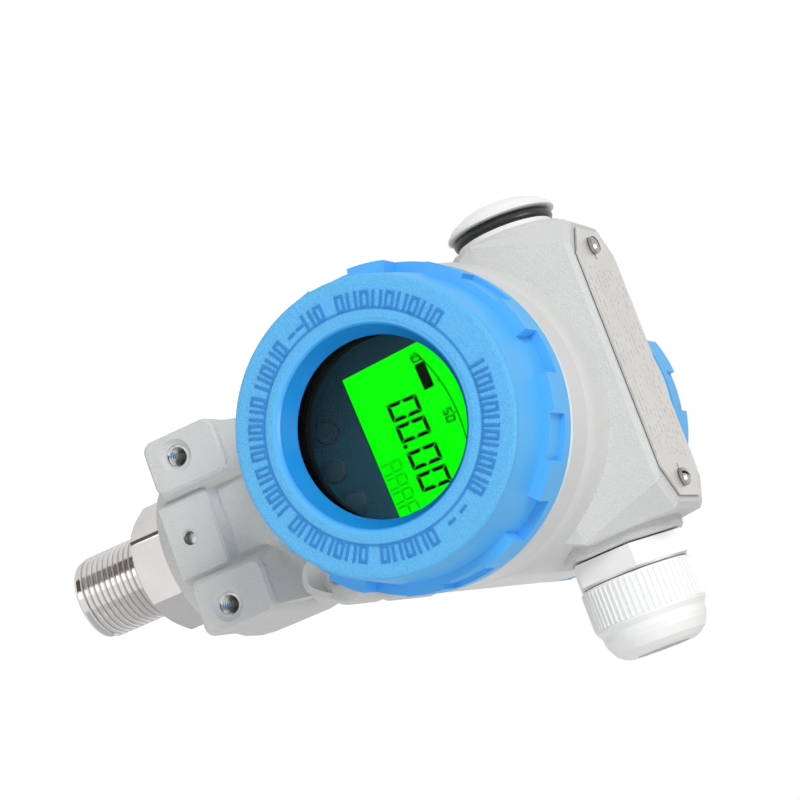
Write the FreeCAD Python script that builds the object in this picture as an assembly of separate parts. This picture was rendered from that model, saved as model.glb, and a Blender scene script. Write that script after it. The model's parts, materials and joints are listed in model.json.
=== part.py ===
import FreeCAD, Part
import os
import math

# Two-compartment field pressure transmitter with a local display.
# Millimetres, +Z up. Built about the crossing of the barrel axis (Y) and the neck
# axis (Z), then lifted by AXIS_Z so that the process shoulder under the hexagon is
# z = 0. The display cover faces -Y, the terminal cover +Y, the cable gland +X.

V = FreeCAD.Vector

# ---- driving dimensions ----
AXIS_Z = 85.2          # barrel axis above the process shoulder
BARREL_R = 34.7        # cast barrel
BARREL_Y = 36.9        # half length of the barrel
BAND_R = 36.5          # swelling in the middle of the barrel
BAND_Y0, BAND_Y1 = 17.6, 27.0
BORE_R = 25.6          # both compartments
NECK_THREAD_R = 28.95  # male thread carrying a cover, plain form
NECK_THREAD_Y = 45.6   # end of that thread
WALL_Y0, WALL_Y1 = -13.5, -10.0   # wall between the compartments

SAD_TOP = 40.0         # flat pad under the nameplate
SAD_Y0 = -0.8          # pad centre
CON_Z = 22.3           # conduit axis above the barrel axis
CON_X = 36.5           # half distance over the conduit bosses
CON_R = 13.8
CON_BORE = 10.0        # M20 x 1.5 entry, plain form

COV_Y = 37.4           # flange edge of a cover
COV_R = 34.75
COV_FLANGE = 3.6
COV_BLOCK = 9.9
COV_LEN = 21.8
COV_FACE_R = 31.0
WIN_R = 18.8
BEVEL_R = 20.6
WIN_DEPTH = 4.6
WIN_ROLL = 0.3         # rolled lip round the window, proud of the face
COV_THREAD_R = 29.0
REAR_LEN = 18.8
NOTCH = 16.0           # degrees
SHALLOW_R = 33.7

DISP_Y = -33.2         # face of the display bezel
DISP_TILT = 2.7        # degrees, the module sits a little turned
LCD_W, LCD_H = 34.4, 24.4
BTN = ((-8.2, -19.7), (0.0, -21.3), (8.2, -19.7))
BTN_R = 2.6
POST_CIRCLE = 22.3     # standoffs, clear of the screen and the keys
POST_AT = (90, 200, 340)

NECK_R = 23.4
NECK_BOT = -74.4
LUG_Y = -29.7
LUG_X0, LUG_X1 = 10.2, 22.9
LUG_Z0, LUG_Z1 = -65.5, -47.1
LUG_HOLE_X, LUG_HOLE_Z = 17.5, -57.9
PAD_Y = -26.8

HEX_AF = 27.0
HEX_TURN = 5.3
HEX_TOP = -75.0
HEX_LAND = 1.0         # flat left on each corner of the hexagon
THREAD_R = 10.0        # M20 x 1.5
THREAD_LEN = 19.4
PORT_R = 3.0

SCREW_X, SCREW_DY = 27.2, -1.5
EARTH_C, EARTH_R, EARTH_Y = (20.3, -34.2), 5.0, -30.0
EARTH_FLOOR = -23.4    # seat of the earth clamp behind its guard
EARTH_OPEN = 52.0      # degrees from +X toward +Z, side the guard leaves free
EARTH_HOLE = 1.65      # M4, plain form
PLATE = (31.2, 13.4, 24.8, 7.1)   # half length, half width, start of corners


# ---- helpers ----
def cyl(r, axis, a, b, c=(0.0, 0.0)):
    """cylinder along an axis from a to b; c holds the other two coordinates"""
    a, b = min(a, b), max(a, b)
    if axis == "x":
        return Part.makeCylinder(r, b - a, V(a, c[0], c[1]), V(1, 0, 0))
    if axis == "y":
        return Part.makeCylinder(r, b - a, V(c[0], a, c[1]), V(0, 1, 0))
    return Part.makeCylinder(r, b - a, V(c[0], c[1], a), V(0, 0, 1))


def box(x0, x1, y0, y1, z0, z1):
    return Part.makeBox(x1 - x0, y1 - y0, z1 - z0, V(x0, y0, z0))


def turn(profile, axis, c=(0.0, 0.0)):
    """solid of revolution from (radius, station) pairs"""
    def pt(r, t):
        if axis == "y":
            return V(c[0] + r, t, c[1])
        if axis == "x":
            return V(t, c[0] + r, c[1])
        return V(c[0] + r, c[1], t)
    points = [pt(r, t) for r, t in profile]
    face = Part.Face(Part.makePolygon(points + [points[0]]))
    ax = {"x": V(1, 0, 0), "y": V(0, 1, 0), "z": V(0, 0, 1)}[axis]
    base = {"x": V(0, c[0], c[1]), "y": V(c[0], 0, c[1]), "z": V(c[0], c[1], 0)}[axis]
    return face.revolve(base, ax, 360)


def eased(r, x, y, sx, sy):
    """four points easing the corner (x, y) in three flats; sx and sy point into the metal,
    going from the side parallel to the axis to the one across it"""
    pts = []
    for k in range(4):
        a = math.radians(30 * k)
        pts.append((x + sx * r * (1 - math.cos(a)), y + sy * r * (1 - math.sin(a))))
    return pts


def ring(r0, r1, axis, a, b, c=(0.0, 0.0)):
    return cyl(r1, axis, a, b, c).cut(cyl(r0, axis, a - 1, b + 1, c))


def prism(pts, axis, a, b):
    def pt(u, w):
        return {"z": V(u, w, a), "y": V(u, a, w), "x": V(a, u, w)}[axis]
    vs = [pt(*p) for p in pts]
    face = Part.Face(Part.makePolygon(vs + [vs[0]]))
    d = {"z": V(0, 0, b - a), "y": V(0, b - a, 0), "x": V(b - a, 0, 0)}[axis]
    return face.extrude(d)


def hexagon(af, axis, a, b, c=(0.0, 0.0), turned=0.0, bevel=True, land=0.0):
    """hexagonal bar; land is the width of a flat across each corner"""
    rc = af / math.sqrt(3)
    tips = [(c[0] + rc * math.cos(math.radians(turned + 60 * k)),
             c[1] + rc * math.sin(math.radians(turned + 60 * k))) for k in range(6)]
    pts = tips
    if land:
        t = land / math.sqrt(3) / rc
        pts = []
        for k, tip in enumerate(tips):
            for other in (tips[k - 1], tips[(k + 1) % 6]):
                pts.append((tip[0] + t * (other[0] - tip[0]), tip[1] + t * (other[1] - tip[1])))
    s = prism(pts, axis, a, b)
    if bevel:
        h, d = abs(b - a), rc - af / 2 + 0.25
        k = d * math.tan(math.radians(30))
        lo = min(a, b)
        cap = turn([(0, lo), (rc - d, lo), (rc, lo + k), (rc, lo + h - k), (rc - d, lo + h),
                    (0, lo + h)], axis, c)
        s = s.common(cap)
    return s


def oring(rr, r, axis, a, c=(0.0, 0.0)):
    """seal ring with an eight-sided section"""
    k = r * math.tan(math.radians(22.5))
    pts = [(rr - k, a - r), (rr + k, a - r), (rr + r, a - k), (rr + r, a + k), (rr + k, a + r),
           (rr - k, a + r), (rr - r, a + k), (rr - r, a - k)]
    return turn(pts, axis, c)


def rounded_block(x0, x1, y0, y1, z0, z1, r, rf=0.0):
    """block with its four edges along Y rounded, and optionally its -Y rim"""
    s = box(x0, x1, y0, y1, z0, z1)
    es = [e for e in s.Edges if abs(e.Vertexes[0].Y - e.Vertexes[1].Y) > 1e-6]
    s = s.makeFillet(r, es)
    if rf:
        es = [e for e in s.Edges if all(abs(v.Y - y0) < 1e-6 for v in e.Vertexes)]
        s = s.makeChamfer(rf, es)
    return s


def spin(s, deg, axis, c=(0.0, 0.0, 0.0)):
    s = s.copy()
    d = {"x": V(1, 0, 0), "y": V(0, 1, 0), "z": V(0, 0, 1)}[axis]
    s.rotate(V(*c), d, deg)
    return s


def tilt(s):
    """turn of the display module about the barrel axis"""
    return spin(s, -DISP_TILT, "y")


# ---- housing ----
def band():
    """swelling between the barrel and the saddle, fading out under the bosses"""
    a0, a1 = math.radians(15), math.radians(165)
    phi = math.acos(BARREL_R / BAND_R)
    p0 = V(BAND_R * math.cos(a0), -BAND_Y1, BAND_R * math.sin(a0))
    pm = V(0, -BAND_Y1, BAND_R)
    p1 = V(BAND_R * math.cos(a1), -BAND_Y1, BAND_R * math.sin(a1))
    t0, t1 = a0 - phi, a1 + phi
    q0 = V(BARREL_R * math.cos(t0), -BAND_Y1, BARREL_R * math.sin(t0))
    q1 = V(BARREL_R * math.cos(t1), -BAND_Y1, BARREL_R * math.sin(t1))
    w = Part.Wire([Part.makeLine(q0, p0), Part.Arc(p0, pm, p1).toShape(),
                   Part.makeLine(p1, q1), Part.makeLine(q1, q0)])
    s = Part.Face(w).extrude(V(0, 2 * BAND_Y1, 0))
    flare = turn([(0, -BAND_Y1), (BARREL_R - 0.02, -BAND_Y1), (BAND_R, -BAND_Y0), (BAND_R, BAND_Y0),
                  (BARREL_R - 0.02, BAND_Y1), (0, BAND_Y1)], "y")
    return s.common(flare)


def saddle():
    def octa(z, X, Y, xf, yf):
        p = [(xf, -Y), (X, -yf), (X, yf), (xf, Y), (-xf, Y), (-X, yf), (-X, -yf), (-xf, -Y)]
        vs = [V(a, b + SAD_Y0, z) for a, b in p]
        return Part.makePolygon(vs + [vs[0]])
    root = octa(6.0, 29.6, 17.6, 28.0, 14.0)
    waist = octa(20.0, 34.6, 18.6, 34.2, 18.2)
    shoulder = octa(38.9, 33.6, 15.9, 27.6, 9.7)
    low = Part.makeLoft([root, waist], True, True)
    mid = Part.makeLoft([waist, shoulder], True, True)
    top = Part.makeLoft([shoulder, octa(SAD_TOP, 32.5, 14.8, 26.7, 8.9)], True, True)
    return low.fuse([mid, top])


def boss(sign):
    r = 1.4
    s = turn([(0, 0), (CON_R, 0)] + eased(r, CON_R, CON_X, -1, -1) + [(0, CON_X)], "x", (0, CON_Z))
    return s if sign > 0 else spin(s, 180, "z")


def ground_boss():
    """earth terminal under the barrel: a round seat with a guard wall round one side"""
    tube = cyl(EARTH_R, "y", EARTH_Y, -6, EARTH_C)
    tube = tube.cut(cyl(3.75, "y", EARTH_Y - 1, EARTH_FLOOR, EARTH_C))
    free = prism([(-2.7, EARTH_Y - 0.1), (0.3, EARTH_FLOOR), (9, EARTH_FLOOR), (9, EARTH_Y - 0.1)],
                 "z", -9, 9)
    free = spin(free, -EARTH_OPEN, "y")
    free.translate(V(EARTH_C[0], 0, EARTH_C[1]))
    root = rounded_end(5.6, EARTH_FLOOR + 0.4, -8, 1.6, (21.6, -32.9))
    rib = rounded_end(4.2, -20.5, 2, 1.4, (25.4, -24.6))
    return tube.cut(free).fuse([root, rib])


def rounded_end(r, a, b, rf, c):
    """boss along Y whose -Y end is rounded"""
    return turn([(0, b), (r, b)] + eased(rf, r, a, -1, 1) + [(0, a)], "y", c)


def housing():
    b = turn([(0, -BARREL_Y), (BARREL_R - 0.9, -BARREL_Y), (BARREL_R, -BARREL_Y + 0.9),
              (BARREL_R, BARREL_Y - 0.9), (BARREL_R - 0.9, BARREL_Y), (0, BARREL_Y)], "y")
    necks = cyl(NECK_THREAD_R, "y", -NECK_THREAD_Y, NECK_THREAD_Y)
    neck = turn([(0, -10), (21.9, -10), (21.9, -38), (22.4, -43.5), (NECK_R, -50), (NECK_R, -64),
                 (23.1, -67.0), (22.2, -69.7), (20.6, -72.0), (18.5, NECK_BOT), (0, NECK_BOT)], "z")
    lugs = [rounded_block(s0, s1, LUG_Y, -4, LUG_Z0, LUG_Z1, 2.6, 0.7)
            for s0, s1 in ((LUG_X0, LUG_X1), (-LUG_X1, -LUG_X0))]
    rib = rounded_block(-6.4, 6.4, -24.1, -4, -56.5, -26, 0.8)
    pad = rounded_block(-8.9, 8.9, PAD_Y, -4, -68.4, -55.3, 1.0, 0.6)
    s = b.fuse([necks, band(), saddle(), boss(1), boss(-1), neck, rib, pad, ground_boss()] + lugs)
    # compartments, passages and entries
    cuts = [cyl(BORE_R, "y", -NECK_THREAD_Y - 1, WALL_Y0), cyl(BORE_R, "y", WALL_Y1, NECK_THREAD_Y + 1),
            cyl(CON_BORE, "x", -CON_X - 1, CON_X + 1, (0, CON_Z)),
            cyl(12.6, "z", NECK_BOT - 1, -40), cyl(6.0, "z", -41, -20),
            cyl(5.0, "y", WALL_Y0 - 1, WALL_Y1 + 1, (0, -17))]
    for x in (LUG_HOLE_X, -LUG_HOLE_X):
        cuts.append(turn([(0, LUG_Y - 1), (3.9, LUG_Y - 1), (3.9, LUG_Y), (3.05, LUG_Y + 0.85),
                          (2.5, LUG_Y + 0.85), (2.5, LUG_Y + 13), (0, LUG_Y + 14.4)], "y",
                         (x, LUG_HOLE_Z)))
    cuts.append(turn([(0, PAD_Y - 1), (2.1, PAD_Y - 1), (2.1, PAD_Y), (1.7, PAD_Y + 0.4),
                      (1.7, -12), (0, -12)], "y", (0, -62.8)))
    for x in (SCREW_X, -SCREW_X):
        cuts.append(cyl(1.25, "z", SAD_TOP - 6.2, SAD_TOP + 1, (x, SAD_Y0 + SCREW_DY)))
    cuts.append(turn([(0, EARTH_FLOOR - 0.1), (2.05, EARTH_FLOOR - 0.1), (2.05, EARTH_FLOOR),
                      (EARTH_HOLE, EARTH_FLOOR + 0.4), (EARTH_HOLE, -14), (0, -14)], "y", EARTH_C))
    s = s.cut(cuts[0].fuse(cuts[1:]))
    return s


# ---- covers ----
def cover_blank(length, cavity):
    """revolved cover along +Y from its flange edge at y = 0; cavity lists the inner profile"""
    rf = 1.0
    prof = [(COV_R, 0), (COV_R, COV_BLOCK), (32.0, COV_BLOCK)] + eased(rf, COV_FACE_R, length, -1, -1)
    prof += cavity
    s = turn(prof, "y")
    for k in range(6):
        for a0, rlo in ((0.0, None), (30.0, SHALLOW_R)):
            lo0 = 32.0 if rlo is None else rlo
            lo1 = 32.5 if rlo is None else rlo
            f = Part.Face(Part.makePolygon([V(lo0, COV_BLOCK + 1, 0), V(lo0, COV_BLOCK, 0),
                                            V(lo1, COV_FLANGE, 0), V(COV_R + 2, COV_FLANGE, 0),
                                            V(COV_R + 2, COV_BLOCK + 1, 0), V(lo0, COV_BLOCK + 1, 0)]))
            w = f.revolve(V(0, 0, 0), V(0, 1, 0), NOTCH)
            s = s.cut(spin(w, a0 + 60 * k - NOTCH / 2, "y"))
    return s


ORG = (1.1, 3.5)       # stations of the cover's seal groove


def front_cover():
    L = COV_LEN
    cav = [(BEVEL_R + 3.9, L), (BEVEL_R + 2.3, L + WIN_ROLL * 0.8), (BEVEL_R + 1.3, L + WIN_ROLL),
           (BEVEL_R + 0.5, L + WIN_ROLL * 0.5), (BEVEL_R, L - 0.4), (WIN_R, L - WIN_DEPTH),
           (WIN_R, L - 4.9), (22.6, L - 4.9), (22.6, 10.8),
           (24.6, 10.8), (24.6, 8.4), (COV_THREAD_R, 8.4), (COV_THREAD_R, ORG[1]), (31.4, ORG[1]),
           (31.4, ORG[0]), (COV_THREAD_R, ORG[0]), (COV_THREAD_R, 0)]
    s = cover_blank(L, cav)
    s = spin(s, 180, "z")              # face to -Y
    s = spin(s, -34.5, "y")            # deep notch at 34.5 degrees from +X toward +Z
    s.translate(V(0, -COV_Y, 0))
    return s


def rear_cover():
    L = REAR_LEN
    cav = [(0, L), (0, L - 4.2), (26.5, L - 4.2), (26.5, 8.4), (COV_THREAD_R, 8.4),
           (COV_THREAD_R, ORG[1]), (31.4, ORG[1]), (31.4, ORG[0]), (COV_THREAD_R, ORG[0]),
           (COV_THREAD_R, 0)]
    s = cover_blank(L, cav)
    s = spin(s, -55.6, "y")
    s.translate(V(0, COV_Y, 0))
    return s


def cover_oring(sign):
    return oring(30.2, 1.15, "y", sign * (COV_Y + 2.3))


def glass_parts():
    y0 = -COV_Y
    gasket = ring(19.3, 22.4, "y", y0 - 16.9, y0 - 16.3)
    glass = turn([(0, y0 - 10.8), (22.0, y0 - 10.8), (22.4, y0 - 11.2), (22.4, y0 - 15.9),
                  (22.0, y0 - 16.3), (0, y0 - 16.3)], "y")
    keep = ring(19.4, 24.5, "y", y0 - 10.8, y0 - 8.6)
    for k in range(2):
        keep = keep.cut(spin(box(21.0, 25, y0 - 9.8, y0 - 8, -1.2, 1.2), 20 + 180 * k, "y"))
    return gasket, glass, keep


# ---- display module ----
def display_parts():
    y = DISP_Y
    cup = ring(24.1, 25.2, "y", -44.8, y + 2.0).fuse(cyl(25.2, "y", y, y + 2.0))
    win = box(-LCD_W / 2, LCD_W / 2, y - 1, y + 3, -LCD_H / 2, LCD_H / 2)
    pocket = box(-LCD_W / 2 - 1.1, LCD_W / 2 + 1.1, y + 0.8, y + 3, -LCD_H / 2 - 1.1, LCD_H / 2 + 1.1)
    cup = cup.cut(win).cut(pocket)
    for x, z in BTN:
        cup = cup.cut(cyl(BTN_R + 0.05, "y", y - 1, y + 3, (x, z)))
    lcd = box(-LCD_W / 2 - 1, LCD_W / 2 + 1, y + 0.82, y + 2.9, -LCD_H / 2 - 1, LCD_H / 2 + 1)
    btns = []
    for x, z in BTN:
        b = turn([(0, y - 0.8), (BTN_R - 0.4, y - 0.8), (BTN_R, y - 0.4), (BTN_R, y + 2.02),
                  (BTN_R + 0.5, y + 2.02), (BTN_R + 0.5, y + 2.7), (0, y + 2.7)], "y", (x, z))
        btns.append(tilt(b))
    board = cyl(24.8, "y", y + 3.9, y + 5.5)
    posts = []
    for a in POST_AT:
        a = math.radians(a)
        c = (POST_CIRCLE * math.cos(a), POST_CIRCLE * math.sin(a))
        board = board.cut(cyl(1.6, "y", y + 3, y + 7, c))
        posts.append(tilt(cyl(1.55, "y", y + 2.0, y + 6.5, c).fuse(hexagon(5.0, "y", y + 5.5, WALL_Y0,
                                                                   c, 0, False))))
    can = cyl(19.2, "y", y + 7.5, WALL_Y0 - 0.4)
    conn = box(-9, 9, y + 5.5, y + 7.5, 6, 10)
    return tilt(cup), tilt(lcd), btns, tilt(board), posts, tilt(can), tilt(conn)


# ---- terminal side ----
def terminal_parts():
    blk = rounded_block(-20, 20, 14, 27, -9, 9, 3.0)
    for x in (-13, 0, 13):
        blk = blk.cut(cyl(4.2, "y", 21, 28, (x, 0))).cut(cyl(1.6, "y", 13.9, 28, (x, 0)))
        blk = blk.cut(box(x - 1.8, x + 1.8, 16.9, 20.5, 3, 10))
    legs = cyl(3.0, "y", WALL_Y1, 14, (-14, -4)).fuse(cyl(3.0, "y", WALL_Y1, 14, (14, -4)))
    blk = blk.fuse(legs)
    screws = []
    for x in (-13, 0, 13):
        s = turn([(0, 15), (1.5, 15), (1.5, 21), (3.3, 21), (3.3, 22.6), (2.9, 23.2), (0, 23.2)],
                 "y", (x, 0))
        s = s.cut(box(x - 4, x + 4, 22.3, 24, -0.4, 0.4))
        screws.append(s)
    feed = cyl(4.95, "y", WALL_Y0, WALL_Y1, (0, -17)).fuse(cyl(6.2, "y", WALL_Y1, WALL_Y1 + 2.5, (0, -17)))
    for dx in (-2, 2):
        feed = feed.fuse(cyl(0.5, "y", WALL_Y1 + 2, WALL_Y1 + 6.5, (dx, -17)))
    inner = screw_y(2.0, 3.6, (13.5, -17.2), WALL_Y1, 2.2, 0.8)
    return blk, screws, feed, inner


def screw_y(r, rh, c, y, hh, slot):
    """pan head seated at y facing +Y"""
    s = turn([(0, y), (rh, y), (rh, y + hh * 0.55), (rh * 0.8, y + hh), (0, y + hh)], "y", c)
    return s.cut(box(c[0] - rh - 1, c[0] + rh + 1, y + hh * 0.5, y + hh + 1,
                     c[1] - slot / 2, c[1] + slot / 2))


# ---- nameplate and small hardware ----
def nameplate():
    X, Y, xf, yf = PLATE
    p = [(xf, -Y), (X, -yf), (X, yf), (xf, Y), (-xf, Y), (-X, yf), (-X, -yf), (-xf, -Y)]
    s = prism([(a, b + SAD_Y0 - 0.4) for a, b in p], "z", SAD_TOP, SAD_TOP + 0.6)
    y = SAD_Y0 + SCREW_DY
    for x, d in ((SCREW_X, -1), (-SCREW_X, 1)):
        s = s.cut(cyl(1.5, "z", SAD_TOP - 1, SAD_TOP + 2, (x, y)))
        a, b = sorted((x + d * 1.0, x + d * 3.2))
        s = s.cut(box(a, b, y - 0.3, y + 0.3, SAD_TOP - 1, SAD_TOP + 2))
    return s


def plate_screw(x):
    z = SAD_TOP + 0.6
    y = SAD_Y0 + SCREW_DY
    s = turn([(0, SAD_TOP - 5.6), (1.2, SAD_TOP - 5.6), (1.2, z), (2.05, z), (2.05, z + 0.9),
              (1.6, z + 1.4), (0.8, z + 1.65), (0, z + 1.65)], "z", (x, y))
    slot = box(-4, 4, -0.35, 0.35, z + 0.9, z + 3)
    slot = spin(slot, 65 if x > 0 else 20, "z")
    slot.translate(V(x, y, 0))
    return s.cut(slot)


def set_screw(y, length, c):
    """M4 headless screw from y toward +Y, with its hexagon socket toward -Y"""
    s = turn([(0, y), (1.3, y), (1.6, y + 0.3), (1.6, y + length - 0.5), (1.1, y + length), (0, y + length)],
             "y", c)
    return s.cut(hexagon(2.0, "y", y - 1, y + 2.0, c, 0, False))


# ---- cable gland on +X ----
def gland_parts():
    c = (0, CON_Z)
    x0 = CON_X
    gasket = ring(CON_BORE + 0.05, 11.8, "x", x0, x0 + 0.4, c)
    body = hexagon(24.0, "x", x0 + 0.4, x0 + 5.4, c, 39.0, False)
    body = body.fuse(cyl(9.95, "x", x0 - 9.0, x0 + 0.4, c)).fuse(cyl(9.3, "x", x0 + 5.4, x0 + 13.0, c))
    body = body.cut(cyl(6.6, "x", x0 - 10, x0 + 14, c)).cut(cyl(7.9, "x", x0 + 3.0, x0 + 14, c))
    seal = turn([(4.6, x0 + 3.4), (7.8, x0 + 3.4), (7.8, x0 + 13.0), (6.6, x0 + 17.4), (4.6, x0 + 17.4)],
                "x", c)
    claw = turn([(7.86, x0 + 13.02), (9.2, x0 + 13.02), (9.2, x0 + 15.4), (7.5, x0 + 19.0), (6.8, x0 + 19.0),
                 (6.8, x0 + 17.3)], "x", c)
    for k in range(6):
        claw = claw.cut(spin(box(x0 + 14.2, x0 + 20, -0.35, 0.35, CON_Z + 5, CON_Z + 11), 60 * k, "x",
                             (0, 0, CON_Z)))
    n0 = x0 + 6.1
    nut = turn([(9.35, n0), (12.2, n0), (12.5, n0 + 0.3), (12.5, n0 + 9.5), (11.7, n0 + 10.7),
                (11.6, n0 + 12.0), (11.2, n0 + 13.3), (10.1, n0 + 15.3), (8.7, n0 + 16.4), (7.5, n0 + 16.9),
                (6.1, n0 + 16.9), (6.1, n0 + 14.8), (7.7, n0 + 13.6), (9.35, n0 + 9.6)], "x", c)
    return gasket, body, seal, claw, nut


# ---- blanking plug on -X ----
def plug_parts():
    c = (0, CON_Z)
    x0 = CON_X
    adapter = turn([(8.0, x0 - 9), (9.95, x0 - 9), (9.95, x0), (10.9, x0), (10.9, x0 + 1.4),
                    (8.0, x0 + 1.4)], "x", c)
    plug = turn([(0, x0 - 6), (7.95, x0 - 6), (7.95, x0 + 3.8), (11.9, x0 + 3.8), (12.45, x0 + 4.0),
                 (12.45, x0 + 4.5), (11.0, x0 + 6.0), (7.8, x0 + 7.7), (4.0, x0 + 8.6), (0, x0 + 8.8)],
                "x", c)
    seal = oring(10.4, 1.2, "x", x0 + 2.6, c)
    return [spin(p, 180, "z") for p in (adapter, plug, seal)]


# ---- process side ----
def process_parts():
    zt = -AXIS_Z
    conn = hexagon(HEX_AF, "z", zt, HEX_TOP, (0, 0), HEX_TURN, True, HEX_LAND)
    stem = turn([(0, zt - THREAD_LEN), (8.6, zt - THREAD_LEN), (THREAD_R, zt - THREAD_LEN + 1.4),
                 (THREAD_R, zt + 1.0), (0, zt + 1.0)], "z")
    top = cyl(12.5, "z", HEX_TOP - 1.0, -66.0)
    conn = conn.fuse([stem, top])
    conn = conn.cut(cyl(PORT_R, "z", zt - THREAD_LEN - 1, -68.0)).cut(cyl(10.0, "z", -68.4, -65))
    disc = turn([(0, -68.4), (9.95, -68.4), (9.95, -68.0), (0, -68.0)], "z")
    sensor = cyl(9.95, "z", -67.99, -60.0).fuse(cyl(12.4, "z", -65.99, -44.0)).fuse(cyl(4.0, "z", -45, -34))
    return conn, disc, sensor


def main():
    os.makedirs("parts", exist_ok=True)
    nodes = {"housing": housing(), "front_cover": front_cover(), "rear_cover": rear_cover(),
             "front_cover_seal": cover_oring(-1), "rear_cover_seal": cover_oring(1)}
    nodes["glass_gasket"], nodes["cover_glass"], nodes["glass_retainer"] = glass_parts()
    cup, lcd, btns, board, posts, can, conn = display_parts()
    nodes.update({"display_bezel": cup, "lcd_panel": lcd, "display_board": board,
                  "electronics_can": can, "board_connector": conn})
    for n, b in zip(("button_left", "button_middle", "button_right"), btns):
        nodes[n] = b
    for k, p in enumerate(posts):
        nodes["standoff_%d" % (k + 1)] = p
    blk, screws, feed, inner = terminal_parts()
    nodes.update({"terminal_block": blk, "feedthrough": feed, "inner_earth_screw": inner})
    for k, s in enumerate(screws):
        nodes["terminal_screw_%d" % (k + 1)] = s
    nodes["nameplate"] = nameplate()
    nodes["plate_screw_left"], nodes["plate_screw_right"] = plate_screw(-SCREW_X), plate_screw(SCREW_X)
    nodes["earth_screw"] = set_screw(EARTH_FLOOR + 0.4, 8.0, EARTH_C)
    nodes["neck_set_screw"] = set_screw(PAD_Y + 3.2, 6.0, (0, -62.8))
    for n, s in zip(("gland_gasket", "gland_body", "gland_seal", "gland_claw", "gland_nut"), gland_parts()):
        nodes[n] = s
    for n, s in zip(("conduit_adapter", "blanking_plug", "plug_seal"), plug_parts()):
        nodes[n] = s
    nodes["process_connection"], nodes["diaphragm"], nodes["sensor_module"] = process_parts()
    for name, s in nodes.items():
        s = s.copy()
        s.translate(V(0, 0, AXIS_Z))
        if len(s.Solids) != 1 or not s.isValid():
            print("not one sound solid:", name, len(s.Solids))
        s.Solids[0].exportStep("parts/%s.step" % name)


main()
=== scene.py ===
"""Looks of a field pressure transmitter: finishes, threads, marks, light and camera round its frame."""
import json
import math

import bmesh
import bpy
from mathutils import Matrix, Vector


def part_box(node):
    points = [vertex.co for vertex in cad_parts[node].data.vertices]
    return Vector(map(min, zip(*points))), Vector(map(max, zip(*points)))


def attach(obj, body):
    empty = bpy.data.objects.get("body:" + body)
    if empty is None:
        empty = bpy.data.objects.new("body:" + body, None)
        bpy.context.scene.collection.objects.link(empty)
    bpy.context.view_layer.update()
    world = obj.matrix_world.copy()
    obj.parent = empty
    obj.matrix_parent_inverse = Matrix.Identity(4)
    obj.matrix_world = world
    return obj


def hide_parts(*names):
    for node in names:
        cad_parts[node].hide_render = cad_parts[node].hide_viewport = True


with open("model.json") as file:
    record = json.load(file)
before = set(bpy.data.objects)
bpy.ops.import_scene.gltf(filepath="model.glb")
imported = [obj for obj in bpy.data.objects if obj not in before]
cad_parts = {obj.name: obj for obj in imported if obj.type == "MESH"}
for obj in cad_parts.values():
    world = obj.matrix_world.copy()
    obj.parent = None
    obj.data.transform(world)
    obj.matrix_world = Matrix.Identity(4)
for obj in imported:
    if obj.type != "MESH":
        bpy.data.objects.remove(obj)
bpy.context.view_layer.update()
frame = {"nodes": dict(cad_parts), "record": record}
nodes = frame["nodes"]
MM = 0.001

# ---- places taken from the frame ----
cover_low, cover_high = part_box("front_cover")
nut_low, nut_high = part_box("gland_nut")
stem_low, stem_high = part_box("process_connection")
plug_low, plug_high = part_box("plug_seal")
plate_low, plate_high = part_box("nameplate")
AXIS_Z = (cover_low.z + cover_high.z) / 2          # barrel axis
ENTRY_Z = (nut_low.z + nut_high.z) / 2             # conduit axis
GASKET_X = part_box("gland_gasket")[1].x             # outer face of the gland's flat gasket
DISPLAY_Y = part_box("lcd_panel")[0].y               # front of the lit panel

# ---- sizes of the solids that the finishes and the added pieces follow ----
CAST_R = 35.2 * MM                                 # past this radius the casting was never turned
FACE_Y = cover_low.y + 0.3 * MM                    # flat face of the window cover, behind its rolled lip
WINDOW_R = 20.9 * MM                               # where the bevel round the window starts
BEVEL_END_Y = -45.0 * MM                           # the bevel lies in front of this
MARKS_IN, MARKS_OUT = 23.9 * MM, 27.6 * MM         # ring of raised marks on the cover
HEX_CORNER = 27.0 / math.sqrt(3) * MM              # radius over the corners of the process hexagon
HEX_TOP = 10.2 * MM                                # its end under the neck
HEX_BEVEL = 2.34 * MM                              # its chamfer, measured inwards
HEX_SLOPE = math.tan(math.radians(30))             # and the fall of that chamfer
GLAND_HEX = 5.0 * MM                               # width of the gland body's hexagon
NECK_LUG_X = 17.5 * MM                             # tapped holes for the bracket
NECK_LUG_Z = AXIS_Z - 57.9 * MM
NECK_LUG_Y = -29.7 * MM                            # faces of the lugs
NECK_PAD_Z = AXIS_Z - 62.8 * MM                    # set screw in the pad
NECK_PAD_Y = -26.8 * MM                            # face of the pad
LUG_SINK, PAD_SINK = 0.85 * MM, 0.4 * MM           # depth of the countersinks over those holes
DISPLAY_TILT = math.radians(2.7)                   # turn of the artwork on the panel

# ---- meshes ----
TO_SIDE = Matrix(((0, 0, 1), (1, 0, 0), (0, 1, 0))).to_4x4()    # lays what stands along Z out along +X
TO_FRONT = Matrix.Rotation(math.radians(90), 4, "X")            # lays it out along -Y


def add_object(name, data):
    """object at the origin with this data, in the scene"""
    obj = bpy.data.objects.new(name, data)
    bpy.context.scene.collection.objects.link(obj)
    return obj


def mesh_object(name, bm, smooth=None):
    """mesh that faces outwards; smooth is the angle in degrees up to which edges are shaded round"""
    mesh = bpy.data.meshes.new(name)
    bmesh.ops.recalc_face_normals(bm, faces=bm.faces)
    bm.to_mesh(mesh)
    bm.free()
    if smooth is not None:
        mesh.shade_smooth()
        mesh.set_sharp_from_angle(angle=math.radians(smooth))
    return add_object(name, mesh)


def dress(obj, body, finish):
    """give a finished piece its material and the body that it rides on"""
    obj.data.materials.clear()
    obj.data.materials.append(finish)
    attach(obj, body)
    return obj


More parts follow.
